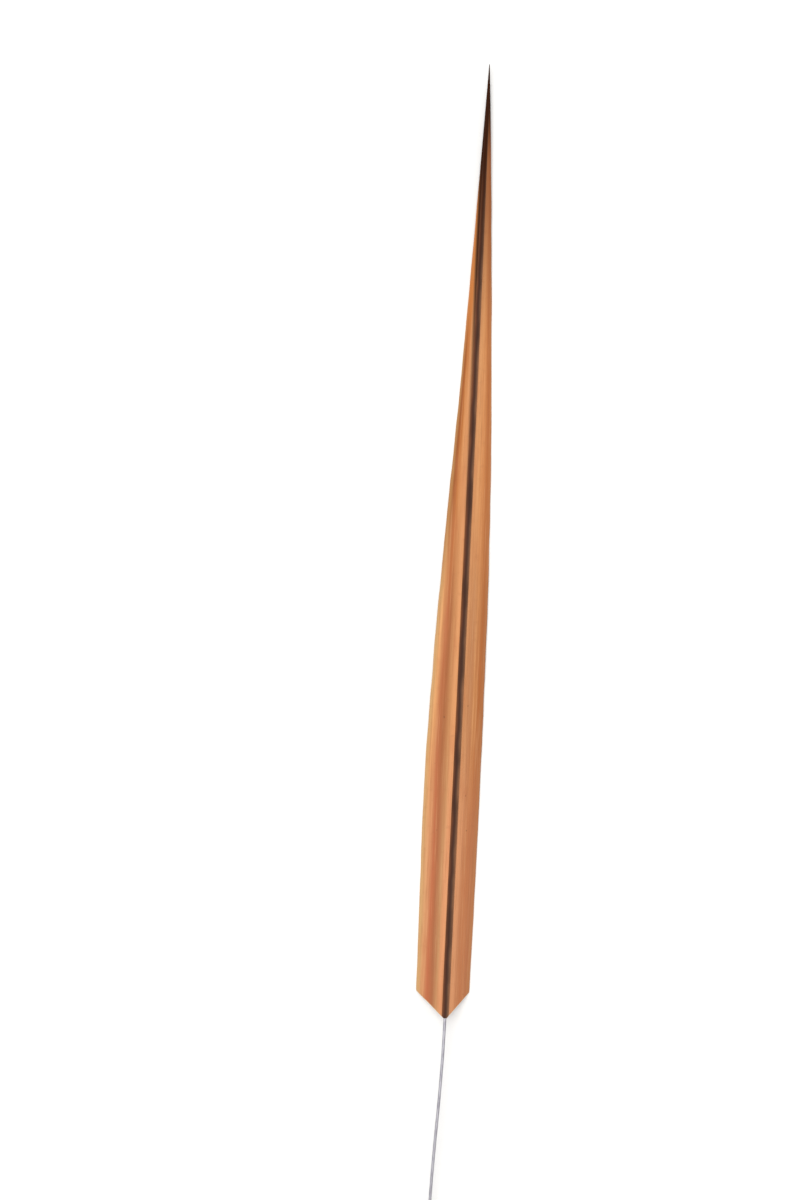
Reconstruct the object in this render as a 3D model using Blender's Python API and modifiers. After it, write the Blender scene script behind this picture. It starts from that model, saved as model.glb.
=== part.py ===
"""One dried date palm leaflet, trimmed to a spear, on the steel wire it is arranged by.

The leaflet is folded along its midrib like a roof, as date palm leaflets grow, and lies on a
surface with the midrib up and its two margins down. The wire is pushed into the cut end of the
midrib and comes down to the same surface. +Y runs from the wire to the tip, +X points to the
narrower half and +Z is up. All sizes are in metres.
"""

import math

import bmesh
import bpy
import numpy as np
from mathutils import Vector

# Leaf blade. "Along" is the distance from the cut point towards the tip.
LEAF_LENGTH = 0.380
BLADE_THICKNESS = 0.00045
BLADE_ROWS = 60
BLADE_COLUMNS = 16

# Half widths as seen from above, at distances along the leaf.
LEFT_HALF_WIDTH = [
    (0.000, 0.0118),
    (0.045, 0.0122),
    (0.085, 0.0126),
    (0.150, 0.0109),
    (0.200, 0.0085),
    (0.250, 0.0057),
    (0.300, 0.0034),
    (0.350, 0.0013),
    (0.380, 0.00015),
]
RIGHT_HALF_WIDTH = [
    (0.000, 0.0093),
    (0.045, 0.0096),
    (0.088, 0.0098),
    (0.150, 0.0096),
    (0.215, 0.0083),
    (0.280, 0.0056),
    (0.330, 0.0031),
    (0.365, 0.0011),
    (0.380, 0.00015),
]

# Height of the fold above the surface, and how far the margins hang below the fold.
FOLD_HEIGHT = [
    (0.000, 0.0086),
    (0.060, 0.0080),
    (0.150, 0.0070),
    (0.250, 0.0054),
    (0.320, 0.0040),
    (0.380, 0.0034),
]
MARGIN_DROP = [
    (0.000, 0.0081),
    (0.060, 0.0074),
    (0.150, 0.0061),
    (0.250, 0.0049),
    (0.320, 0.0028),
    (0.380, 0.0003),
]
LEFT_ARCH = 0.10
RIGHT_ARCH = 0.22
PLEAT_DEPTH = 0.00045

# Midrib, a stiff cord along the fold.
MIDRIB_WIDTH = [
    (0.000, 0.0028),
    (0.060, 0.0027),
    (0.200, 0.0025),
    (0.300, 0.0021),
    (0.350, 0.0014),
    (0.380, 0.0007),
]

# The scissor cut at the base: a blunt point on the midrib and a slanting cut on each side.
CUT_NOSE = 0.0012
LEFT_CUT_RISE = 0.84
RIGHT_CUT_RISE = 1.10

# Wire, a hand-cut stem of galvanised steel.
WIRE_RADIUS = 0.0006
WIRE_LENGTH = 0.205
WIRE_INSET = 0.022
WIRE_POINTS = 44
BORE_RADIUS = WIRE_RADIUS + 0.0003
WIRE_SWAY = [
    (-WIRE_INSET, 0.0),
    (0.000, 0.0),
    (0.025, -0.0005),
    (0.050, -0.0017),
    (0.075, -0.0026),
    (0.130, -0.0042),
    (0.205, -0.0058),
]

LEAF_COLOUR = (0.56, 0.30, 0.14, 1.0)
WIRE_COLOUR = (0.55, 0.56, 0.58, 1.0)


def smooth(points, at):
    """The height, at one place, of a curve through the points that overshoots none of them."""
    place, value = np.array(points).T
    run = np.diff(place)
    rise = np.diff(value) / run
    slope = np.concatenate([rise[:1], np.zeros(len(rise) - 1), rise[-1:]])
    same_way = rise[:-1] * rise[1:] > 0
    before, after = rise[:-1][same_way], rise[1:][same_way]
    slope[1:-1][same_way] = 2 * before * after / (before + after)
    i = int(np.clip(np.searchsorted(place, at) - 1, 0, len(run) - 1))
    part = (at - place[i]) / run[i]
    step = part * part * (3 - 2 * part)
    bend = part * (1 - part)
    lean = run[i] * bend * ((1 - part) * slope[i] - part * slope[i + 1])
    return float(value[i] + step * (value[i + 1] - value[i]) + lean)


def blade_point(across, along):
    """A point of the blade's upper surface: across is -1 at the left margin and 1 at the right."""
    left = across < 0
    reach = abs(across)
    half_width = smooth(LEFT_HALF_WIDTH if left else RIGHT_HALF_WIDTH, along)
    arch = LEFT_ARCH if left else RIGHT_ARCH
    fall = smooth(MARGIN_DROP, along) * (reach * (1 - arch) + arch * reach * reach)
    pleat = PLEAT_DEPTH * min(1.0, half_width / 0.010) * math.sin(math.pi * reach) ** 2
    height = smooth(FOLD_HEIGHT, along) - fall - pleat
    return Vector((math.copysign(half_width * reach, across), along, height))


def fold_line(along):
    """The centre of the midrib, which the wire carries on before it bends."""
    return Vector((0, along, smooth(FOLD_HEIGHT, along) - BLADE_THICKNESS / 2))


def plain_material(name, colour, roughness, metallic):
    material = bpy.data.materials.new(name)
    material.use_nodes = True
    shader = material.node_tree.nodes["Principled BSDF"]
    shader.inputs["Base Color"].default_value = colour
    shader.inputs["Roughness"].default_value = roughness
    shader.inputs["Metallic"].default_value = metallic
    return material


def add_object(name, data, collection, parent):
    obj = bpy.data.objects.new(name, data)
    collection.objects.link(obj)
    obj.parent = parent
    return obj


def tube_curve(name, points, radii):
    """A curve with a round section whose radius follows the list, closed at both ends."""
    curve = bpy.data.curves.new(name, "CURVE")
    curve.dimensions = "3D"
    curve.bevel_depth = 1.0
    curve.bevel_resolution = 2
    curve.use_fill_caps = True
    spline = curve.splines.new("POLY")
    spline.points.add(len(points) - 1)
    for knot, point, radius in zip(spline.points, points, radii):
        knot.co = (*point, 1.0)
        knot.radius = radius
    return curve


def closed_mesh(curve, name):
    """The curve's solid as a mesh, with its caps joined to its sides."""
    guide = bpy.data.objects.new(name, curve)
    bpy.context.scene.collection.objects.link(guide)
    bpy.context.view_layer.update()
    evaluated = guide.evaluated_get(bpy.context.evaluated_depsgraph_get())
    mesh = bpy.data.meshes.new_from_object(evaluated)
    mesh.name = name
    bpy.data.objects.remove(guide)
    bm = bmesh.new()
    bm.from_mesh(mesh)
    bmesh.ops.remove_doubles(bm, verts=bm.verts, dist=1e-6)
    bmesh.ops.recalc_face_normals(bm, faces=bm.faces)
    bm.to_mesh(mesh)
    bm.free()
    return mesh


def as_helper(obj):
    obj.hide_render = True
    obj.display_type = "WIRE"
    return obj


def make_blade(collection, parent):
    """The two halves of the blade as one folded sheet with a real thickness."""
    bm = bmesh.new()
    bmesh.ops.create_grid(bm, x_segments=BLADE_COLUMNS, y_segments=BLADE_ROWS, size=1.0)
    for vert in bm.verts:
        along = LEAF_LENGTH * (vert.co.y + 1) / 2
        vert.co = blade_point(vert.co.x, along)
    mesh = bpy.data.meshes.new("palm_leaflet")
    bm.to_mesh(mesh)
    bm.free()
    leaflet = add_object("palm_leaflet", mesh, collection, parent)
    wall = leaflet.modifiers.new("blade_thickness", "SOLIDIFY")
    wall.thickness = BLADE_THICKNESS
    wall.offset = -1.0
    return leaflet


def make_midrib(collection, parent):
    """The midrib, from before the cut to just past the blade's end, so that it is the tip.

    Its rings stand halfway between the blade's rows, which keeps the joined faces well shaped.
    """
    row = LEAF_LENGTH / BLADE_ROWS
    reach = [-0.004, *(np.arange(BLADE_ROWS) + 0.5) * row, LEAF_LENGTH + 0.0005]
    points = [fold_line(along) for along in reach]
    radii = [smooth(MIDRIB_WIDTH, max(0.0, along)) / 2 for along in reach]
    curve = tube_curve("midrib", points, radii)
    return as_helper(add_object("midrib", closed_mesh(curve, "midrib"), collection, parent))


def make_base_cutter(collection, parent):
    """A wedge with a V in its upper side, which trims the base to a point on the midrib."""
    far = 0.030
    nose = CUT_NOSE / 2
    outline = [
        (-far, LEFT_CUT_RISE * (far - nose)),
        (-nose, 0.0),
        (nose, 0.0),
        (far, RIGHT_CUT_RISE * (far - nose)),
        (far, -far),
        (-far, -far),
    ]
    curve = bpy.data.curves.new("base_cutter", "CURVE")
    curve.dimensions = "2D"
    curve.fill_mode = "BOTH"
    curve.extrude = far
    spline = curve.splines.new("POLY")
    spline.points.add(len(outline) - 1)
    for knot, (x, y) in zip(spline.points, outline):
        knot.co = (x, y, 0.0, 1.0)
    spline.use_cyclic_u = True
    mesh = closed_mesh(curve, "base_cutter")
    return as_helper(add_object("base_cutter", mesh, collection, parent))


def make_bore_cutter(collection, parent):
    """The hole that the wire is pushed into, along the midrib from its cut end."""
    reach = [-0.010, WIRE_INSET + 0.0003]
    points = [fold_line(along) for along in reach]
    curve = tube_curve("wire_bore", points, [BORE_RADIUS] * 2)
    return as_helper(add_object("wire_bore", closed_mesh(curve, "wire_bore"), collection, parent))


def add_boolean(obj, operation, other):
    """Both solids are closed, and the sheet is too thin at its tip for the exact solver."""
    step = obj.modifiers.new(f"{operation.lower()}_{other.name}", "BOOLEAN")
    step.operation = operation
    step.object = other
    step.solver = "MANIFOLD"


def wire_point(out):
    """The wire's centre, by distance out of the leaf; inside the midrib the distance is negative."""
    if out <= 0:
        return fold_line(-out)
    start = fold_line(0.0)
    climb = (fold_line(0.0).z - fold_line(0.010).z) / 0.010
    part = out / WIRE_LENGTH
    carried_on = start.z + climb * out * (1 - part) ** 2
    fall = (start.z - WIRE_RADIUS) * part * part * (3 - 2 * part)
    return Vector((smooth(WIRE_SWAY, out), -out, carried_on - fall))


def make_wire(collection, parent):
    reach = np.linspace(-WIRE_INSET, WIRE_LENGTH, WIRE_POINTS)
    points = [wire_point(out) for out in reach]
    curve = tube_curve("stem_wire", points, [WIRE_RADIUS] * WIRE_POINTS)
    return add_object("stem_wire", closed_mesh(curve, "stem_wire"), collection, parent)


def centre_on_origin(anchor, objects):
    """Moves the whole part so that the middle of the underside of its box is at the origin."""
    bpy.context.view_layer.update()
    graph = bpy.context.evaluated_depsgraph_get()
    corners = [
        obj.matrix_world @ Vector(corner)
        for obj in objects
        for corner in obj.evaluated_get(graph).bound_box
    ]
    low = Vector(min(corner[axis] for corner in corners) for axis in range(3))
    high = Vector(max(corner[axis] for corner in corners) for axis in range(3))
    anchor.location = -Vector(((low.x + high.x) / 2, (low.y + high.y) / 2, low.z))


def main():
    for obj in list(bpy.data.objects):
        bpy.data.objects.remove(obj)
    parts = bpy.data.collections.new("dried_date_palm_frond")
    helpers = bpy.data.collections.new("cutters")
    for collection in (parts, helpers):
        bpy.context.scene.collection.children.link(collection)
    anchor = add_object("leaf_base", None, parts, None)

    leaf_material = plain_material("dried_palm_leaf", LEAF_COLOUR, 0.65, 0.0)
    leaflet = make_blade(parts, anchor)
    leaflet.data.materials.append(leaf_material)
    for operation, make_helper in (
        ("UNION", make_midrib),
        ("DIFFERENCE", make_base_cutter),
        ("DIFFERENCE", make_bore_cutter),
    ):
        helper = make_helper(helpers, anchor)
        helper.data.materials.append(leaf_material)
        add_boolean(leaflet, operation, helper)

    wire = make_wire(parts, anchor)
    wire.data.materials.append(plain_material("galvanised_wire", WIRE_COLOUR, 0.42, 1.0))

    for obj in (leaflet, wire):
        obj.data.shade_smooth()
        obj.data.set_sharp_from_angle(angle=math.radians(40))
    centre_on_origin(anchor, (leaflet, wire))


main()
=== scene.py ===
# %% [markdown]
# # A dried date palm leaflet on its stem wire
# A date palm leaf carries many leaflets, each folded along its midrib like a roof. This one was
# dried, cut to a point at its base with scissors, and put on a florist's wire. It lies on a table
# with its midrib up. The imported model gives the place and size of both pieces, so it is loaded
# first and everything below is measured from it.

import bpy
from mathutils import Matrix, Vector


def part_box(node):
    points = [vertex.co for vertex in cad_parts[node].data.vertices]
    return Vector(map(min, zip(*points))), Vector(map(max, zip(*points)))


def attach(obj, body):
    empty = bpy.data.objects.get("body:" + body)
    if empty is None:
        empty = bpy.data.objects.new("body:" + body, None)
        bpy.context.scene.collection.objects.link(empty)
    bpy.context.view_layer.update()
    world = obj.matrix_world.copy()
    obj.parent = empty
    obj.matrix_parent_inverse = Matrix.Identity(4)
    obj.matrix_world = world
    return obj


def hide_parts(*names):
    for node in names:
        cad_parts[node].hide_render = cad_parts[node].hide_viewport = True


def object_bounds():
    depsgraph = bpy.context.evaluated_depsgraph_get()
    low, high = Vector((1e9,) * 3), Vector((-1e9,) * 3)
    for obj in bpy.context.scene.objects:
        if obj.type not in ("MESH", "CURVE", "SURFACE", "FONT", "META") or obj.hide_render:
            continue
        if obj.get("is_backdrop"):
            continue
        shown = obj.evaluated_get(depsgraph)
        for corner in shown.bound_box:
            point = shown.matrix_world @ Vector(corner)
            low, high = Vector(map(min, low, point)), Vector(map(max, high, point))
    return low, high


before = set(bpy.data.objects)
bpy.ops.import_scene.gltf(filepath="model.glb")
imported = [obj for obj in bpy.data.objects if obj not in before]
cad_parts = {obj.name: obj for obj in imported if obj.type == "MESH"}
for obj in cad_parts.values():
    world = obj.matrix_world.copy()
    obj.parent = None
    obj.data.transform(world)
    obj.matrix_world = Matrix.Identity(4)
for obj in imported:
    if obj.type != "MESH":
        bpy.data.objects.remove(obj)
cad_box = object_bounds()
leaf_low, leaf_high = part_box("palm_leaflet")
print("packed pieces:", sorted(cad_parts))
print("leaflet box in mm:", [round(1000 * (b - a), 1) for a, b in zip(leaf_low, leaf_high)])

# %% Tools of the language and of Blender
import math

import bmesh
import bpy
import numpy as np
from mathutils import Matrix, Vector, noise

MM = 0.001

# %% [markdown]
# ## The leaflet's outline
# A leaf outline is a smooth curve through a few measured widths, so each driving size is a short
# list of (distance from the cut, value) pairs. A curve that overshoots none of its points keeps
# the taper to the tip clean. The same lists drive the solid that this piece stands for, so the
# two agree without any fitting.


# %% Smooth curves through a few points
def smooth(points, at):
    """The values, at these places, of a curve through the points that overshoots none of them."""
    place, value = np.array(points).T
    run = np.diff(place)
    rise = np.diff(value) / run
    slope = np.concatenate([rise[:1], np.zeros(len(rise) - 1), rise[-1:]])
    same_way = rise[:-1] * rise[1:] > 0
    before, after = rise[:-1][same_way], rise[1:][same_way]
    slope[1:-1][same_way] = 2 * before * after / (before + after)
    i = np.clip(np.searchsorted(place, at) - 1, 0, len(run) - 1)
    part = (at - place[i]) / run[i]
    step = part * part * (3 - 2 * part)
    lean = run[i] * part * (1 - part) * ((1 - part) * slope[i] - part * slope[i + 1])
    return value[i] + step * (value[i + 1] - value[i]) + lean


def ease(low, high, at):
    """0 below low, 1 above high, and a soft step between."""
    part = np.clip((at - low) / (high - low), 0, 1)
    return part * part * (3 - 2 * part)


# %% Driving sizes of the leaflet, in metres from the cut point towards the tip
LEAF_LENGTH = 0.380
BLADE_THICKNESS = 0.45 * MM
LEFT_HALF_WIDTH = [
    (0.000, 0.0118),
    (0.045, 0.0122),
    (0.085, 0.0126),
    (0.150, 0.0109),
    (0.200, 0.0085),
    (0.250, 0.0057),
    (0.300, 0.0034),
    (0.350, 0.0013),
    (0.380, 0.00015),
]
RIGHT_HALF_WIDTH = [
    (0.000, 0.0093),
    (0.045, 0.0096),
    (0.088, 0.0098),
    (0.150, 0.0096),
    (0.215, 0.0083),
    (0.280, 0.0056),
    (0.330, 0.0031),
    (0.365, 0.0011),
    (0.380, 0.00015),
]
FOLD_HEIGHT = [
    (0.000, 0.0086),
    (0.060, 0.0080),
    (0.150, 0.0070),
    (0.250, 0.0054),
    (0.320, 0.0040),
    (0.380, 0.0034),
]
MARGIN_DROP = [
    (0.000, 0.0081),
    (0.060, 0.0074),
    (0.150, 0.0061),
    (0.250, 0.0049),
    (0.320, 0.0028),
    (0.380, 0.0003),
]
MIDRIB_WIDTH = [
    (0.000, 0.0028),
    (0.060, 0.0027),
    (0.200, 0.0025),
    (0.300, 0.0021),
    (0.350, 0.0014),
    (0.380, 0.0007),
]
ARCH = {-1: 0.10, 1: 0.22}
CUT_NOSE = 1.2 * MM
CUT_RISE = {-1: 0.84, 1: 1.10}

cut_y = leaf_low.y
fold_x = leaf_high.x - max(width for _, width in RIGHT_HALF_WIDTH)
floor_z = cad_box[0].z
print(f"the fold runs along x = {1000 * fold_x:.2f} mm from y = {1000 * cut_y:.1f} mm")

# %% [markdown]
# ## The leaflet's surface
# Seen from above no part of the blade hides another, so each side of it is a height over the
# plan. The height is made in layers, from the largest shape to the smallest: the roof, the pleats
# that drying leaves along it, the midrib, then veins and small ripples. Whole arrays are worked
# at once with numpy; only the uneven ripples ask Blender's noise for one value per point.


# %% Height of the two sides of the blade over the plan
PLEATS = {
    -1: [(0.0, 0.0), (0.28, 0.10), (0.55, -0.55), (0.86, 0.22), (1.0, -0.05)],
    1: [(0.0, 0.0), (0.25, 0.05), (0.48, -0.16), (0.72, 0.06), (0.88, -0.10), (1.0, 0.05)],
}
FULL_RELIEF_WIDTH = 10 * MM
VEIN_SPACING = 1.15 * MM
VEIN_HEIGHT = 0.045 * MM
VEIN_WANDER_LENGTH = 60 * MM
RIPPLE_HEIGHT = 0.10 * MM
RIPPLE_WIDTH = 4.5 * MM
RIPPLE_LENGTH = 18 * MM
BESIDE_THE_RIB = -1.0  # metres, so deep that the blade's own height is always taken there


def half_width(side, along):
    left = smooth(LEFT_HALF_WIDTH, along)
    right = smooth(RIGHT_HALF_WIDTH, along)
    return np.where(side < 0, left, right)


def per_side(table, side, reach):
    return np.where(side < 0, smooth(table[-1], reach), smooth(table[1], reach))


def noise_at(points, seed):
    offset = Vector((seed * 7.3, seed * 3.1, seed * 11.7))
    return np.array([noise.noise(Vector(point) + offset) for point in points])


def roof_height(side, reach, along):
    """The fold and its two halves, which bow a little on their way down to the margins."""
    arch = np.where(side < 0, ARCH[-1], ARCH[1])
    fall = smooth(MARGIN_DROP, along) * reach * (1 - arch + arch * reach)
    return smooth(FOLD_HEIGHT, along) - fall


def relief(side, reach, across, along):
    """Pleats, veins and ripples of the dried blade, as a height over the roof."""
    spread = np.minimum(1.0, half_width(side, along) / FULL_RELIEF_WIDTH)
    pleats = per_side(PLEATS, side, reach) * MM * spread
    wander = noise_at(np.column_stack([side * 2, along / VEIN_WANDER_LENGTH, along * 0]), 1)
    vein_turn = 2 * math.pi * (np.abs(across) / VEIN_SPACING + 0.35 * wander)
    veins = VEIN_HEIGHT * np.cos(vein_turn) * ease(0.0, 0.15, reach)
    grid = np.column_stack([across / RIPPLE_WIDTH, along / RIPPLE_LENGTH, across * 0])
    ripples = RIPPLE_HEIGHT * noise_at(grid, 2) * ease(0.1, 0.5, reach)
    return pleats + (veins + ripples) * spread


def midrib_height(across, along):
    """How far the midrib's round back stands over its own centre line; far below it beside it."""
    radius = smooth(MIDRIB_WIDTH, along) / 2
    over = radius**2 - across**2
    return np.where(over > 0, np.sqrt(np.abs(over)), BESIDE_THE_RIB)


# %% [markdown]
# ## The mesh of the leaflet
# A grid that is finer over the midrib is laid flat, and two straight cuts trim its base to the V
# that the scissors left. A copy of it becomes the underside, and a bridge between the two edges
# closes the blade. This keeps every point of one side right over a point of the other, so the
# blade has an even thickness everywhere.

# %% A flat sheet with the plan of the leaflet
COLUMNS = 104
ROWS = 420
RIB_SHARE = 0.20
RIB_REACH = 1.25
MARGIN_ROUNDING = 0.10 * MM
MARGIN_WANDER = 0.16 * MM
MARGIN_WAVE = 11 * MM
CUT_FRAY = 0.10 * MM
CUT_FIBRE = 0.5 * MM
CUT_SLANT = 0.30 * MM
ON_CUT = 0.02 * MM  # a point this near the cut line counts as on it


def margin(side, along):
    """Half width of the dried blade, whose margins wander a little."""
    width = half_width(side, along)
    wander = noise_at(np.column_stack([along / MARGIN_WAVE, side * 5, along * 0]), 3)
    return width - MARGIN_ROUNDING + MARGIN_WANDER * wander * ease(0.001, 0.004, width)


def spread_columns(share, side, along):
    """Distance of a column from the fold: the first fifth of the columns is kept for the midrib."""
    width = np.maximum(margin(side, along), 0.04 * MM)
    rib = np.minimum(RIB_REACH * smooth(MIDRIB_WIDTH, along) / 2, 0.8 * width)
    near = rib * share / RIB_SHARE
    far = rib + (width - rib) * (share - RIB_SHARE) / (1 - RIB_SHARE)
    return np.where(share < RIB_SHARE, near, far)


def flat_sheet():
    bm = bmesh.new()
    bmesh.ops.create_grid(bm, x_segments=COLUMNS, y_segments=ROWS, size=1.0)
    place = np.array([vert.co for vert in bm.verts])
    side = np.where(place[:, 0] < 0, -1, 1)
    along = LEAF_LENGTH * (place[:, 1] + 1) / 2
    across = side * spread_columns(np.abs(place[:, 0]), side, along)
    for vert, x, y in zip(bm.verts, across, along):
        vert.co = (x, y, 0)
    return bm


def past_cut(x, y):
    """How far above the scissor cut a point of the plan is; it is 0 on the cut and at the nose."""
    rise = np.where(x < 0, CUT_RISE[-1], CUT_RISE[1])
    return y - rise * np.maximum(0, np.abs(x) - CUT_NOSE / 2)


def trim_base(bm):
    """Cuts both corners below the V away and frays the new edge a little, as dry fibres do."""
    for side, rise in CUT_RISE.items():
        bmesh.ops.bisect_plane(
            bm,
            geom=[*bm.verts, *bm.edges, *bm.faces],
            dist=1e-6,
            plane_co=(side * CUT_NOSE / 2, 0, 0),
            plane_no=Vector((side * rise, -1, 0)).normalized(),
            clear_outer=True,
        )
    bmesh.ops.remove_doubles(bm, verts=bm.verts, dist=ON_CUT)
    for vert in bm.verts:
        if vert.is_boundary and past_cut(vert.co.x, vert.co.y) < ON_CUT:
            vert.co.y += CUT_FRAY * (0.5 + 0.5 * noise.noise(vert.co / CUT_FIBRE))


# %% Fold the sheet and close it into a blade with two sides
def upper_height(side, reach, across, along):
    blade = roof_height(side, reach, along) + relief(side, reach, across, along)
    rib = smooth(FOLD_HEIGHT, along) - BLADE_THICKNESS / 2 + midrib_height(across, along)
    return np.maximum(blade, rib)


def lower_height(side, reach, across, along):
    slope = smooth(MARGIN_DROP, along) / np.maximum(half_width(side, along), MM)
    depth = BLADE_THICKNESS * np.sqrt(1 + slope**2) * ease(-0.01, 0.3, half_width(side, along) / MM)
    blade = roof_height(side, reach, along) + relief(side, reach, across, along) - depth
    rib = smooth(FOLD_HEIGHT, along) - BLADE_THICKNESS / 2 - midrib_height(across, along)
    return np.minimum(blade, rib)


def lift(verts, height):
    """Raises flat points to a height over the plan, in one pass of numpy."""
    place = np.array([vert.co for vert in verts])
    across, along = place[:, 0], place[:, 1]
    side = np.where(across < 0, -1, 1)
    reach = np.minimum(1.0, np.abs(across) / np.maximum(half_width(side, along), 0.1 * MM))
    for vert, z in zip(verts, height(side, reach, across, along)):
        vert.co.z = z


def close_blade(bm):
    """Adds the underside, slants the cut and closes the edges with a rounded wall."""
    upper = list(bm.verts)
    copied = bmesh.ops.duplicate(bm, geom=[*bm.verts, *bm.edges, *bm.faces])["geom"]
    lower = [item for item in copied if isinstance(item, bmesh.types.BMVert)]
    under = [item for item in copied if isinstance(item, bmesh.types.BMFace)]
    lift(upper, upper_height)
    lift(lower, lower_height)
    for vert in lower:
        if vert.is_boundary and past_cut(vert.co.x, vert.co.y) < CUT_FRAY + ON_CUT:
            vert.co.y -= CUT_SLANT
    bmesh.ops.reverse_faces(bm, faces=under)
    rims = [edge for edge in bm.edges if edge.is_boundary]
    wall = bmesh.ops.bridge_loops(bm, edges=rims)
    split = bmesh.ops.subdivide_edges(bm, edges=wall["edges"], cuts=2, use_grid_fill=True)
    middle = [item for item in split["geom_inner"] if isinstance(item, bmesh.types.BMVert)]
    for vert in middle:
        if past_cut(vert.co.x, vert.co.y) > 2 * CUT_FRAY:
            vert.co.x += math.copysign(MARGIN_ROUNDING, vert.co.x)


sheet = flat_sheet()
trim_base(sheet)
print("flat sheet:", len(sheet.verts), "points,", len(sheet.faces), "faces")
close_blade(sheet)
print("closed blade:", len(sheet.verts), "points,", round(1e9 * sheet.calc_volume()), "mm3")

# %% [markdown]
# ## The hole for the wire
# A florist pushes the wire into the soft end of the midrib. The hole follows the midrib's centre
# line, and a Boolean cuts it because both shapes are closed. The blade is then placed where the
# packed leaflet is, with its object left at the origin.

# %% Bore the midrib and place the leaflet
WIRE_RADIUS = 0.6 * MM
WIRE_INSET = 22 * MM
BORE_RADIUS = WIRE_RADIUS + 0.12 * MM
BORE_MOUTH = -4 * MM

rib_top = smooth(FOLD_HEIGHT, 0.0) - BLADE_THICKNESS / 2 + smooth(MIDRIB_WIDTH, 0.0) / 2
base_point = Vector((fold_x, cut_y, leaf_high.z - rib_top))


def fold_line(along):
    """The midrib's centre line, before the leaflet is placed."""
    return Vector((0, along, float(smooth(FOLD_HEIGHT, along)) - BLADE_THICKNESS / 2))


def add_piece(name, bm_or_mesh):
    """Puts a finished mesh in the scene as a piece whose object stays at the origin."""
    mesh = bm_or_mesh
    if isinstance(bm_or_mesh, bmesh.types.BMesh):
        mesh = bpy.data.meshes.new(name)
        bm_or_mesh.to_mesh(mesh)
        bm_or_mesh.free()
    mesh.name = name
    piece = bpy.data.objects.new(name, mesh)
    bpy.context.scene.collection.objects.link(piece)
    return piece


def bored(blade, start, end, radius):
    """A copy of the blade's mesh with a round hole cut between two points."""
    bm = bmesh.new()
    bmesh.ops.create_cone(
        bm, cap_ends=True, segments=20, radius1=radius, radius2=radius, depth=(end - start).length
    )
    turn = (end - start).to_track_quat("Z", "Y").to_matrix().to_4x4()
    bm.transform(Matrix.Translation((start + end) / 2) @ turn)
    drill = add_piece("drill", bm)
    cut = blade.modifiers.new("wire_hole", "BOOLEAN")
    cut.operation = "DIFFERENCE"
    cut.object = drill
    cut.solver = "MANIFOLD"
    bpy.context.view_layer.update()
    evaluated = blade.evaluated_get(bpy.context.evaluated_depsgraph_get())
    mesh = bpy.data.meshes.new_from_object(evaluated)
    mesh.materials.clear()  # the Boolean adds an empty slot
    bpy.data.objects.remove(drill)
    bpy.data.objects.remove(blade)
    return mesh


blank = add_piece("blank_blade", sheet)
leaf_mesh = bored(blank, fold_line(BORE_MOUTH), fold_line(WIRE_INSET), BORE_RADIUS)
print("bored blade:", len(leaf_mesh.vertices), "points,", len(leaf_mesh.polygons), "faces")

# %% [markdown]
# ## Maps for the leaflet's finish
# The colours of a palm leaflet run along its veins, so its material needs to know where a point
# is on the leaf and not only where it is in space. Two attributes hold that: `leaf_zone` has the
# place across (-1 to 1), the place along (0 to 1) and the distance from the midrib in midrib
# radii, and `leaf_grain` has real distances in metres across and along the veins, and a 1 on the
# underside. The patterns of the finish ignore that third value.


# %% Attributes and UV map
UNDERSIDE_DEPTH = 0.55 * BLADE_THICKNESS
CUT_FACE_REACH = 0.15 * MM
FULL_VEIN_WIDTH = 12.7 * MM


def write_vectors(mesh, name, columns):
    layer = mesh.attributes.new(name, "FLOAT_VECTOR", "POINT")
    layer.data.foreach_set("vector", np.column_stack(columns).astype(np.float32).ravel())


def vein_distance(side, across, along):
    """Distance from the fold on the blade itself; the veins close up a little towards the tip."""
    width = np.maximum(half_width(side, along), 0.3 * MM)
    slope = smooth(MARGIN_DROP, along) / width
    closing = (FULL_VEIN_WIDTH / width) ** 0.25
    return across * np.sqrt(1 + slope**2) * closing


def map_leaflet(mesh):
    place = np.empty(3 * len(mesh.vertices))
    mesh.vertices.foreach_get("co", place)
    across, along, height = place.reshape(-1, 3).T
    side = np.where(across < 0, -1, 1)
    along = np.clip(along, 0, LEAF_LENGTH)
    reach = across / np.maximum(half_width(side, along), 0.2 * MM)
    rib = across / (smooth(MIDRIB_WIDTH, along) / 2)
    clipped = np.minimum(1.0, np.abs(reach))
    middle = roof_height(side, clipped, along) + relief(side, clipped, across, along)
    underside = height < middle - UNDERSIDE_DEPTH
    write_vectors(mesh, "leaf_zone", (reach, along / LEAF_LENGTH, rib))
    write_vectors(mesh, "leaf_grain", (vein_distance(side, across, along), along, underside))
    uv = mesh.uv_layers.new(name="leaf_plan")
    corner = np.empty(len(mesh.loops), np.int32)
    mesh.loops.foreach_get("vertex_index", corner)
    flat = np.column_stack([0.5 + 0.45 * np.clip(reach, -1, 1), along / LEAF_LENGTH])
    uv.data.foreach_set("uv", flat[corner].astype(np.float32).ravel())


def mark_cut_faces(mesh):
    """Gives the faces of the scissor cut and of the hole the second material."""
    for face in mesh.polygons:
        x, y, _ = face.center
        looks_at_wire = face.normal.y < -0.2
        on_cut = looks_at_wire and past_cut(x, y) < CUT_FACE_REACH
        upright = abs(face.normal.z) < 0.35
        in_hole = upright and abs(x) < BORE_RADIUS and MM < y < WIRE_INSET + MM
        face.material_index = 1 if on_cut or in_hole else 0


map_leaflet(leaf_mesh)
mark_cut_faces(leaf_mesh)
leaf_mesh.transform(Matrix.Translation(base_point))
leaf_mesh.shade_smooth()
leaf_mesh.set_sharp_from_angle(angle=math.radians(50))
leaflet = add_piece("palm_leaflet_dried", leaf_mesh)
print("cut faces:", sum(face.material_index for face in leaf_mesh.polygons))

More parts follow.
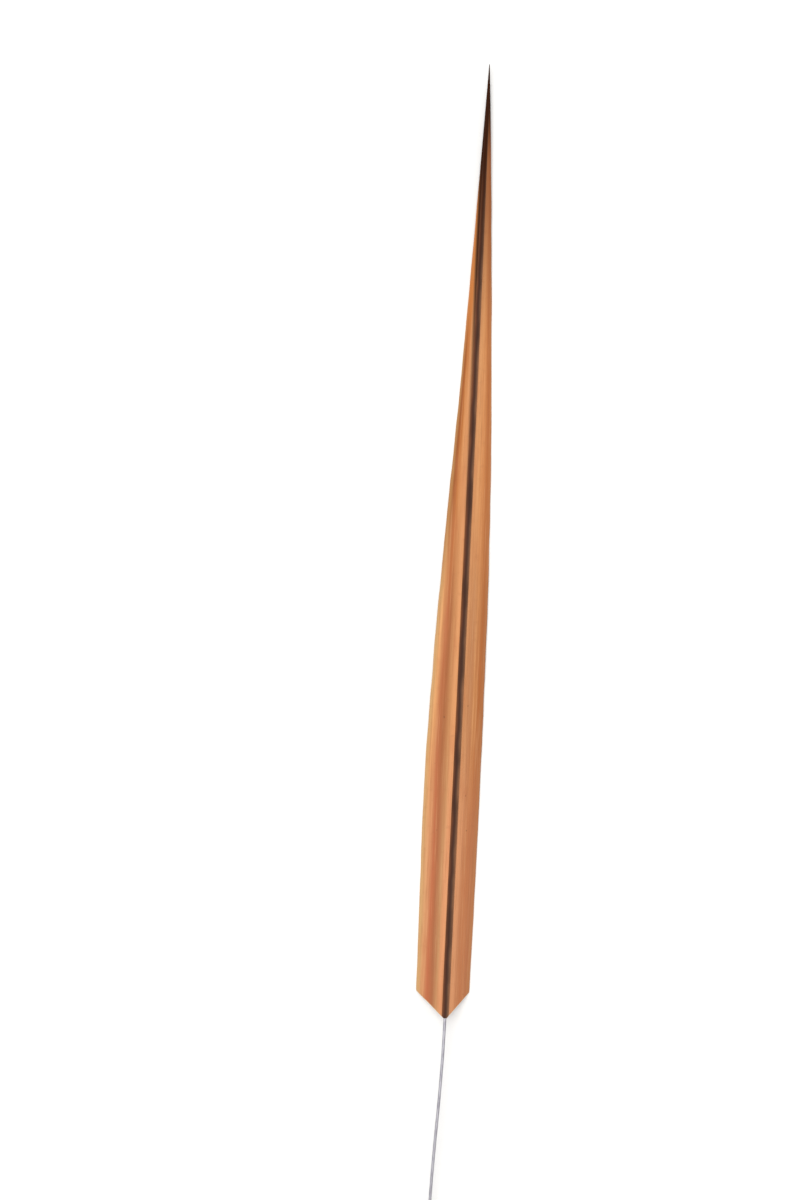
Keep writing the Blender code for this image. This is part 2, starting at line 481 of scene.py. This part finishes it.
# %% [markdown]
# ## The stem wire
# A stub wire is a straight length of soft steel, so it keeps every small bend that a hand gives
# it. It is made as one ring pushed along its path, ring after ring, because the last ring can
# then close up into the blunt wedge that wire cutters leave. The path starts in the midrib,
# carries on in its line and comes down to the table.

# %% The wire's path
WIRE_LENGTH = 205 * MM
WIRE_SWAY = [
    (-0.022, 0.0),
    (0.000, 0.0),
    (0.025, -0.0005),
    (0.050, -0.0017),
    (0.075, -0.0026),
    (0.130, -0.0042),
    (0.205, -0.0058),
]
HAND_BENDS = 0.12 * MM
BEND_LENGTH = 21 * MM
LEAVING_LENGTH = 10 * MM


def wire_point(out):
    """The wire's centre by distance out of the leaf, before it is placed."""
    if out <= 0:
        return fold_line(-out)
    start = fold_line(0.0)
    climb = (start.z - fold_line(LEAVING_LENGTH).z) / LEAVING_LENGTH
    part = out / WIRE_LENGTH
    carried_on = start.z + climb * out * (1 - part) ** 2
    fall = (start.z - WIRE_RADIUS) * part * part * (3 - 2 * part)
    kink = noise.noise(Vector((out / BEND_LENGTH, 4.2, 0))) * min(1.0, out / (2 * LEAVING_LENGTH))
    sway = float(smooth(WIRE_SWAY, out)) + HAND_BENDS * kink
    return Vector((sway, -out, carried_on - fall))


# %% Push a ring along the path
WIRE_SIDES = 20
WIRE_STEP = 1.6 * MM


def ring_frame(place, ahead):
    """Where a ring stands and which way it faces."""
    turn = (ahead - place).to_track_quat("Z", "X").to_matrix().to_4x4()
    return Matrix.Translation(place) @ turn


def bite(bm, verts, here):
    """Pinches the last ring into the blunt wedge that wire cutters leave."""
    squeeze = Matrix.Diagonal((1.0, 0.35, 1.0, 1.0))
    bmesh.ops.transform(bm, matrix=here @ squeeze @ here.inverted(), verts=verts)


def make_wire():
    stops = np.arange(-WIRE_INSET + MM, WIRE_LENGTH, WIRE_STEP)
    bm = bmesh.new()
    first = bmesh.ops.create_circle(bm, cap_ends=True, segments=WIRE_SIDES, radius=WIRE_RADIUS)
    here = ring_frame(wire_point(stops[0]), wire_point(stops[1]))
    bmesh.ops.transform(bm, matrix=here, verts=first["verts"])
    end = list(bm.edges)
    for stop in stops[1:]:
        grown = bmesh.ops.extrude_edge_only(bm, edges=end)["geom"]
        verts = [item for item in grown if isinstance(item, bmesh.types.BMVert)]
        end = [item for item in grown if isinstance(item, bmesh.types.BMEdge) and item.is_boundary]
        there = ring_frame(wire_point(stop), wire_point(stop + 0.5 * MM))
        bmesh.ops.transform(bm, matrix=there @ here.inverted(), verts=verts)
        here = there
    bite(bm, verts, here)
    bmesh.ops.contextual_create(bm, geom=end)
    bmesh.ops.recalc_face_normals(bm, faces=bm.faces)
    return bm


wire_bm = make_wire()
wire_bm.transform(Matrix.Translation(base_point))
print("wire:", len(wire_bm.verts), "points,", round(1e9 * wire_bm.calc_volume()), "mm3")
wire = add_piece("stem_wire_steel", wire_bm)
wire.data.shade_smooth()
wire.data.set_sharp_from_angle(angle=math.radians(40))

# %% [markdown]
# ## How the finishes are written
# Colours are picked as sRGB hex values, the way a paint chart or a screen gives them, and Blender's
# sockets want linear light, so one function turns them. One more adds a node with its settings and
# its links. Each pattern is sized from a real length on the leaf: a noise texture with a scale of
# 1 repeats about once a unit, so dividing the place by a length in metres gives spots that long.
# A finish is then built up as a painter would do it: each new colour covers the ones below it as
# far as some value has climbed between two limits.


# %% Colours and nodes
def linear(code):
    """An sRGB hex colour as the linear colour that a socket takes."""
    shares = [int(code[i : i + 2], 16) / 255 for i in (1, 3, 5)]
    low = [share / 12.92 for share in shares]
    high = [((share + 0.055) / 1.055) ** 2.4 for share in shares]
    return (*(a if share <= 0.04045 else b for share, a, b in zip(shares, low, high)), 1.0)


def add(tree, kind, sockets=None, stops=None, **settings):
    """Adds a node. Settings are its properties, sockets hold values or links, stops fill a ramp."""
    node = tree.nodes.new("ShaderNode" + kind)
    for name, value in settings.items():
        setattr(node, name, value)
    for name, value in (sockets or {}).items():
        if isinstance(value, bpy.types.NodeSocket):
            tree.links.new(value, node.inputs[name])
        else:
            node.inputs[name].default_value = value
    for i, (place, code) in enumerate(stops or []):
        ramp = node.color_ramp
        stop = ramp.elements[i] if i < 2 else ramp.elements.new(place)
        stop.position = place
        stop.color = linear(code)
    return node


def new_material(name, roughness, metallic=0.0, ior=1.5):
    """A material with an empty tree but for its shader, and that shader."""
    material = bpy.data.materials.new(name)
    material.use_nodes = True
    tree = material.node_tree
    shader = tree.nodes["Principled BSDF"]
    shader.inputs["Roughness"].default_value = roughness
    shader.inputs["Metallic"].default_value = metallic
    shader.inputs["IOR"].default_value = ior
    return material, tree, shader


# %% Patterns of a real size, and coats of colour
SOFT = {"interpolation_type": "SMOOTHSTEP"}
ANY = math.inf  # the length of a spot along an axis that its pattern ignores


def pattern(tree, place, lengths, **settings):
    """A noise whose spots are about this long, in metres, along each axis of the place."""
    sized = add(tree, "Mapping", {"Vector": place, "Scale": [1 / length for length in lengths]})
    return add(tree, "TexNoise", {"Vector": sized.outputs[0], "Scale": 1.0, **settings}).outputs["Fac"]


def coat(tree, under, over, value, low, high, cover=1.0):
    """Lays one colour over another, more and more as a value goes from low to high."""
    climb = {"Value": value, "From Min": low, "From Max": high, "To Max": cover}
    share = add(tree, "MapRange", climb, **SOFT).outputs[0]
    return add(tree, "Mix", {0: share, 6: under, 7: over}, data_type="RGBA").outputs[2]


# %% [markdown]
# ## Dried palm blade
# A date palm leaflet is a sheet of parallel fibres under a thin wax skin. Dried, it turns from green
# to tan and orange-brown in bands that follow the fibres, with browner margins higher up. The bands
# also carry painted light: the pale bands along the left margin and beside the midrib are partly
# painted highlight on the pleat ridges, and the redder band between them is partly painted shade in
# the pleat valley. So the base colour is three sets of bands across the leaf, one for each part of its
# length, blended into each other. Streaks, blotches, faint cross marks and specks are laid over them,
# each at the size that they have on a real leaflet.

# %% Bands across the leaf, from the left margin to the right one
# Over the leaf's own tan and orange-brown, the pale ridge bands are partly painted highlight and the
# redder valley bands partly painted shade of the pleats.
BANDS_LOW = [
    (0.030, "#c89b67"),
    (0.090, "#cc8f60"),
    (0.190, "#b4643d"),
    (0.260, "#a5643e"),
    (0.340, "#ba8658"),
    (0.400, "#d39062"),
    (0.600, "#d49264"),
    (0.650, "#d08d60"),
    (0.715, "#bd794d"),
    (0.800, "#b87348"),
    (0.900, "#b46f44"),
    (0.970, "#b07348"),
]
BANDS_MIDDLE = [
    (0.030, "#c59864"),
    (0.090, "#d89a62"),
    (0.180, "#ae6438"),
    (0.250, "#a05f35"),
    (0.330, "#ba7e4d"),
    (0.400, "#d3925e"),
    (0.600, "#c38454"),
    (0.720, "#b97c4f"),
    (0.800, "#c0804c"),
    (0.900, "#ac632e"),
    (0.970, "#a76a3e"),
]
BANDS_HIGH = [
    (0.030, "#ad7a46"),
    (0.100, "#914c18"),
    (0.180, "#af672c"),
    (0.260, "#cc8a54"),
    (0.400, "#c98858"),
    (0.600, "#d2925e"),
    (0.720, "#d6945c"),
    (0.800, "#cb8650"),
    (0.900, "#b26832"),
    (0.970, "#b47444"),
]


def bands_with_pleat_light(tree, reach, along, grain):
    """The three sets of bands, blended from the base to the tip. Their borders wander a little."""
    wander = pattern(tree, grain, (4 * MM, 70 * MM, ANY), Detail=2.0)
    moved = add(tree, "Math", {0: wander, 1: 0.16, 2: reach}, operation="MULTIPLY_ADD").outputs[0]
    place = add(tree, "MapRange", {"Value": moved, "From Min": -0.92, "From Max": 1.08}).outputs[0]
    low, middle, high = [
        add(tree, "ValToRGB", {0: place}, stops=bands).outputs[0]
        for bands in (BANDS_LOW, BANDS_MIDDLE, BANDS_HIGH)
    ]
    colour = coat(tree, low, middle, along, 0.16, 0.34)
    return coat(tree, colour, high, along, 0.40, 0.57)


# %% Weathering: streaks, fibres, blotches, cross marks and specks
def weathered(tree, colour, grain):
    streaks = pattern(tree, grain, (0.9 * MM, 45 * MM, ANY), Detail=4.0, Roughness=0.6)
    fibres = pattern(tree, grain, (0.35 * MM, 14 * MM, ANY), Detail=2.0)
    blotches = pattern(tree, grain, (5 * MM, 16 * MM, ANY), Detail=3.0)
    cross = pattern(tree, grain, (4 * MM, 2.4 * MM, ANY), Detail=3.0)
    colour = coat(tree, colour, linear("#a9643a"), streaks, 0.50, 0.72, 0.40)
    colour = coat(tree, colour, linear("#ecb682"), streaks, 0.48, 0.28, 0.24)
    colour = coat(tree, colour, linear("#94582f"), fibres, 0.54, 0.74, 0.30)
    colour = coat(tree, colour, linear("#b5683f"), blotches, 0.52, 0.74, 0.26)
    colour = coat(tree, colour, linear("#a0623c"), cross, 0.56, 0.80, 0.20)
    cells = add(tree, "Mapping", {"Vector": grain, "Scale": (1 / (5 * MM), 1 / (8 * MM), 0)})
    dots = add(tree, "TexVoronoi", {"Vector": cells.outputs[0], "Scale": 1.0}).outputs["Distance"]
    ragged = add(tree, "Math", {0: fibres, 1: 0.16, 2: dots}, operation="MULTIPLY_ADD").outputs[0]
    return coat(tree, colour, linear("#5b3420"), ragged, 0.125, 0.09, 0.7)


# %% [markdown]
# ## Rust, painted shade, the midrib and the tip
# A leaflet dries from its tip down, so the tip is nearly black and rust brown creeps down from it.
# Painted shade widens beside the left of the midrib and darkens towards the tip, and the left margin
# above it stays tan. The midrib itself is dark brown, with its right flank painted lighter as a
# painted highlight. These marks follow the leaf's own zones, so each is a coat of colour that reads a
# place on the leaf and not a noise.

# %% Rust, tan margin and painted brown shade of the upper third
RUST = linear("#86491f")
MARGIN_TAN = linear("#cf7f3c")
# Painted shade beside the left of the midrib: a brown, and a darker brown towards the tip.
SHADE_BROWN = linear("#67411f")
SHADE_DARK = linear("#421f08")
TIP_BLACK = linear("#351705")
SHADE_SPREAD = 3.4


def rust_and_painted_shade(tree, colour, reach, along, rib):
    """Returns the colour with rust and painted shade, and how much of the dark painted shade covers
    it.
    """
    climb = {"Value": reach, "From Min": 0.03, "From Max": -0.03}
    on_left = add(tree, "MapRange", climb, **SOFT).outputs[0]
    rusty = add(tree, "MapRange", {"Value": on_left, "To Min": 0.80, "To Max": 0.32}).outputs[0]
    colour = coat(tree, colour, RUST, along, 0.68, 0.90, rusty)
    climb = {"Value": reach, "From Min": -0.35, "From Max": -0.70, "To Max": 0.60}
    margin = add(tree, "MapRange", climb, **SOFT).outputs[0]
    colour = coat(tree, colour, MARGIN_TAN, along, 0.68, 0.76, margin)

    # Painted shade beside the left of the midrib: it widens towards the tip and turns darker above
    # 0.66 of the length.
    spread = {0: along, 1: SHADE_SPREAD, 2: rib}
    edge = add(tree, "Math", spread, operation="MULTIPLY_ADD").outputs[0]
    climb = {"Value": edge, "From Min": 0.30, "From Max": 1.55, "To Max": on_left}
    brown = add(tree, "MapRange", climb, **SOFT).outputs[0]
    climb = {"Value": along, "From Min": 0.66, "From Max": 0.80, "To Max": brown}
    dark = add(tree, "MapRange", climb, **SOFT).outputs[0]
    colour = add(tree, "Mix", {0: brown, 6: colour, 7: SHADE_BROWN}, data_type="RGBA").outputs[2]
    colour = add(tree, "Mix", {0: dark, 6: colour, 7: SHADE_DARK}, data_type="RGBA").outputs[2]
    return colour, dark


def dark_tip(tree, colour, reach, along):
    """Returns the colour with its black tip, which starts higher on the right, and its darkness."""
    climb = {"Value": reach, "From Min": 0.05, "From Max": 0.42, "To Max": 0.046}
    later = add(tree, "MapRange", climb, **SOFT).outputs[0]
    height = add(tree, "Math", {0: along, 1: later}, operation="SUBTRACT").outputs[0]
    climb = {"Value": height, "From Min": 0.840, "From Max": 0.915}
    darkness = add(tree, "MapRange", climb, **SOFT).outputs[0]
    colour = add(tree, "Mix", {0: darkness, 6: colour, 7: TIP_BLACK}, data_type="RGBA").outputs[2]
    return colour, darkness


# %% The midrib, from its left flank to its right one, with a painted highlight on the right flank
RIB_TONES_AND_HIGHLIGHT = [
    (0.00, "#86502f"),
    (0.12, "#75462c"),
    (0.25, "#583628"),
    (0.44, "#43291f"),
    (0.62, "#583f32"),
    # The midrib's own dark brown runs across; the lighter tan towards the right flank is a painted
    # highlight.
    (0.80, "#845c42"),
    (1.00, "#9c6c4a"),
]
RIB_SHIFT = 0.025


def rib_cover(tree, rib):
    """1 on the midrib, 0 beside it and a soft border between."""
    shifted = add(tree, "Math", {0: rib, 1: RIB_SHIFT}, operation="SUBTRACT").outputs[0]
    width = add(tree, "Math", {0: shifted}, operation="ABSOLUTE").outputs[0]
    climb = {"Value": width, "From Min": 1.12, "From Max": 0.92}
    return add(tree, "MapRange", climb, **SOFT).outputs[0]


def rib_colour_and_highlight(tree, grain, along, rib):
    """The dark line sways from side to side, and keeps a little more to the right higher up."""
    sway = pattern(tree, grain, (30 * MM, 14 * MM, ANY), Detail=2.0)
    moved = add(tree, "Math", {0: sway, 1: 0.9, 2: rib}, operation="MULTIPLY_ADD").outputs[0]
    climb = {"Value": along, "From Min": 0.30, "From Max": 0.48, "To Max": 0.12}
    higher = add(tree, "MapRange", climb, **SOFT).outputs[0]
    moved = add(tree, "Math", {0: moved, 1: higher}, operation="SUBTRACT").outputs[0]
    place = add(tree, "MapRange", {"Value": moved, "From Min": -0.75, "From Max": 1.65}).outputs[0]
    # Dark brown midrib with a painted highlight on its right flank.
    colour = add(tree, "ValToRGB", {0: place}, stops=RIB_TONES_AND_HIGHLIGHT).outputs[0]
    streaks = pattern(tree, grain, (0.25 * MM, 20 * MM, ANY), Detail=3.0)
    patches = pattern(tree, grain, (20 * MM, 22 * MM, ANY), Detail=2.0)
    colour = coat(tree, colour, linear("#6e4a34"), streaks, 0.45, 0.80, 0.35)
    colour = coat(tree, colour, linear("#3d281f"), patches, 0.42, 0.68, 0.55)
    return coat(tree, colour, TIP_BLACK, along, 0.74, 0.86, 0.6)


# %% [markdown]
# ## The blade's shine
# The wax leaves a soft shine along the fibres, so the roughness is about 0.55 and changes from fibre
# to fibre. Dry wax is cracked and reflects less than a whole skin, so the IOR is 1.35, a little under
# that of plant wax. The midrib and the tip have lost their wax, so they are duller still, and the
# painted shade beside the midrib is made as dull.


# %% Dried palm blade, put together
def dried_blade():
    """Parallel fibres in bands of tan and orange-brown with painted pleat light in them, and a satin
    shine on their ridges.
    """
    material, tree, shader = new_material("dried_palm_blade", 0.55, ior=1.35)
    zone = add(tree, "Attribute", attribute_name="leaf_zone").outputs["Vector"]
    grain = add(tree, "Attribute", attribute_name="leaf_grain").outputs["Vector"]
    reach, along, rib = add(tree, "SeparateXYZ", {0: zone}).outputs
    underside = add(tree, "SeparateXYZ", {0: grain}).outputs[2]

    colour = weathered(tree, bands_with_pleat_light(tree, reach, along, grain), grain)
    colour = coat(tree, colour, linear("#cfa472"), underside, 0.2, 0.8, 0.35)
    colour, shade_cover = rust_and_painted_shade(tree, colour, reach, along, rib)
    on_rib = rib_cover(tree, rib)
    # The midrib's dark brown, with its painted highlight on the right flank.
    rib_with_highlight = rib_colour_and_highlight(tree, grain, along, rib)
    colour = add(tree, "Mix", {0: on_rib, 6: colour, 7: rib_with_highlight}, data_type="RGBA").outputs[2]
    colour, darkness = dark_tip(tree, colour, reach, along)
    tree.links.new(colour, shader.inputs["Base Color"])

    dull = add(tree, "Math", {0: darkness, 1: on_rib}, operation="MAXIMUM").outputs[0]
    # The painted shade beside the midrib is made dull as well.
    dull = add(tree, "Math", {0: dull, 1: shade_cover}, operation="MAXIMUM").outputs[0]
    gloss = add(tree, "MapRange", {"Value": dull, "To Min": 0.5, "To Max": 0.08}).outputs[0]
    tree.links.new(gloss, shader.inputs["Specular IOR Level"])
    fine = pattern(tree, grain, (0.30 * MM, 25 * MM, ANY), Detail=3.0)
    shine = add(tree, "MapRange", {"Value": fine, "To Min": 0.46, "To Max": 0.68}).outputs[0]
    tree.links.new(shine, shader.inputs["Roughness"])
    bump = add(tree, "Bump", {"Strength": 0.8, "Distance": 0.09 * MM, "Height": fine})
    tree.links.new(bump.outputs[0], shader.inputs["Normal"])
    return material


# %% [markdown]
# ## The scissor cut
# Where the scissors went through, the wax skin is gone and the pale inside shows, dotted with
# the darker ends of the fibres. It is drier and rougher than the blade. The ends are drawn about
# 0.45 mm apart, a little coarser than real ones, so that they show.


# %% Cut fibre
def cut_fibre():
    """Freshly cut palm fibre: pale and matt, with darker fibre ends."""
    material, tree, shader = new_material("cut_palm_fibre", 0.85)
    place = add(tree, "TexCoord").outputs["Object"]
    ends = add(tree, "TexVoronoi", {"Vector": place, "Scale": 1 / (0.45 * MM)}).outputs["Distance"]
    colour = coat(tree, linear("#e6c190"), linear("#9a6a42"), ends, 0.45, 0.15, 0.7)
    tree.links.new(colour, shader.inputs["Base Color"])
    bump = add(tree, "Bump", {"Strength": 0.5, "Distance": 0.05 * MM, "Height": ends})
    tree.links.new(bump.outputs[0], shader.inputs["Normal"])
    return material


# %% [markdown]
# ## Galvanised wire
# Stub wire is drawn steel with a thin coat of zinc: light grey, dull rather than bright, with
# fine lines along it from the drawing die and a faint patchiness in the zinc. The lines are
# finer than a render shows, so they are drawn about 0.15 mm apart. It is a metal, so its IOR is
# left alone.


# %% Drawn and zinc-coated steel
def galvanised_steel():
    """Drawn steel under a dull zinc skin."""
    material, tree, shader = new_material("galvanised_steel_wire", 0.42, metallic=1.0)
    place = add(tree, "TexCoord").outputs["Object"]
    lines = pattern(tree, place, (0.15 * MM, 9 * MM, 0.15 * MM), Detail=3.0)
    patches = pattern(tree, place, (1.5 * MM, 4 * MM, 1.5 * MM), Detail=3.0)
    colour = coat(tree, linear("#a19ea6"), linear("#b9b7bd"), patches, 0.35, 0.65)
    colour = coat(tree, colour, linear("#7f7c83"), lines, 0.55, 0.75, 0.35)
    tree.links.new(colour, shader.inputs["Base Color"])
    shine = add(tree, "MapRange", {"Value": patches, "To Min": 0.34, "To Max": 0.52}).outputs[0]
    tree.links.new(shine, shader.inputs["Roughness"])
    bump = add(tree, "Bump", {"Strength": 0.3, "Distance": 0.01 * MM, "Height": lines})
    tree.links.new(bump.outputs[0], shader.inputs["Normal"])
    return material


# %% Finishes on their pieces
for finish in (dried_blade(), cut_fibre()):
    leaflet.data.materials.append(finish)
wire.data.materials.append(galvanised_steel())
print("finishes:", [material.name for material in bpy.data.materials if material.users])

# %% [markdown]
# ## Who stands for what
# The imported solids carry the physics and stay hidden. Each piece rides on the one body.

# %% Tie the pieces to the frame
for piece, node, slot in (
    (leaflet, "palm_leaflet", "dried_palm_leaf"),
    (wire, "stem_wire", "galvanised_wire"),
):
    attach(piece, "root")
    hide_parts(node)
    print(piece.name, "stands for", node)

# %% [markdown]
# ## Table, light and camera
# The leaflet is shown from straight above on a plain pale table, under a white sky and one large
# soft light that throws a faint shadow beside it. A long lens keeps its sides parallel. The camera
# is turned a little so that the leaflet leans, and it stands so that the leaflet fills most of the
# frame's height, while the far end of the wire runs out of the frame at the bottom.


# %% A plain pale table
TABLE_REACH = 25.0


def pale_table():
    """Matt white laminate, plain on purpose."""
    material, tree, shader = new_material("pale_table", 0.8)
    place = add(tree, "TexCoord").outputs["Object"]
    tone = pattern(tree, place, (0.4, 0.4, 0.4), Detail=3.0)
    tones = {0: tone, 6: linear("#f3f2f0"), 7: linear("#f6f5f3")}
    colour = add(tree, "Mix", tones, data_type="RGBA").outputs[2]
    tree.links.new(colour, shader.inputs["Base Color"])
    return material


table_bm = bmesh.new()
bmesh.ops.create_grid(table_bm, x_segments=1, y_segments=1, size=TABLE_REACH)
table_bm.transform(Matrix.Translation((0, 0, floor_z)))
table = add_piece("table_top", table_bm)
table.data.materials.append(pale_table())
table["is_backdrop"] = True
print(f"table top at z = {1000 * floor_z:.2f} mm")

# %% Soft studio light
KEY_SIZE = 0.9
KEY_PLACE = Vector((-0.22, 0.15, 1.1))
KEY_POWER = 8.0
SKY_STRENGTH = 0.74

scene = bpy.context.scene
scene.view_settings.view_transform = "Standard"
scene.world = bpy.data.worlds.new("studio")
scene.world.use_nodes = True
sky = scene.world.node_tree.nodes["Background"]
sky.inputs["Color"].default_value = (1.0, 1.0, 1.0, 1.0)
sky.inputs["Strength"].default_value = SKY_STRENGTH
key = bpy.data.lights.new("key", "AREA")
key.size = KEY_SIZE
key.energy = KEY_POWER
key_light = bpy.data.objects.new("key", key)
scene.collection.objects.link(key_light)
key_light.location = KEY_PLACE
key_light.rotation_euler = (-KEY_PLACE).to_track_quat("-Z", "Y").to_euler()
print("key light", KEY_POWER, "W, sky", SKY_STRENGTH)

# %% The camera, straight above
LENS = 85.0
SENSOR = 36.0
WIDTH_BY_HEIGHT = 2 / 3
LEAN = math.radians(2.695)
LEAF_SHARE = 0.7975  # of the frame's height
CUT_POINT_DOWN = 0.3483  # of the frame's height, from its middle
CUT_POINT_RIGHT = 0.05625  # of the frame's width, from its middle

view_height = LEAF_LENGTH / LEAF_SHARE
view_width = view_height * WIDTH_BY_HEIGHT
distance = view_height * LENS / SENSOR
right = Vector((math.cos(LEAN), math.sin(LEAN), 0))
up = Vector((-math.sin(LEAN), math.cos(LEAN), 0))
cut_point = base_point + fold_line(0.0)
aim = cut_point - right * CUT_POINT_RIGHT * view_width + up * CUT_POINT_DOWN * view_height
lens = bpy.data.cameras.new("camera")
lens.lens = LENS
lens.sensor_width = SENSOR
camera = bpy.data.objects.new("camera", lens)
scene.collection.objects.link(camera)
camera.location = aim + Vector((0, 0, distance))
camera.rotation_euler = (0, 0, LEAN)
scene.camera = camera
print(f"camera {1000 * distance:.0f} mm above the fold, view {1000 * view_height:.0f} mm tall")

# %% Sizes of the two boxes, printed
shown_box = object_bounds()
sizes = {
    "cad_box": [list(corner) for corner in cad_box],
    "shown_box": [list(corner) for corner in shown_box],
}
for name, box in sizes.items():
    print(name, [[round(1000 * value, 2) for value in corner] for corner in box])
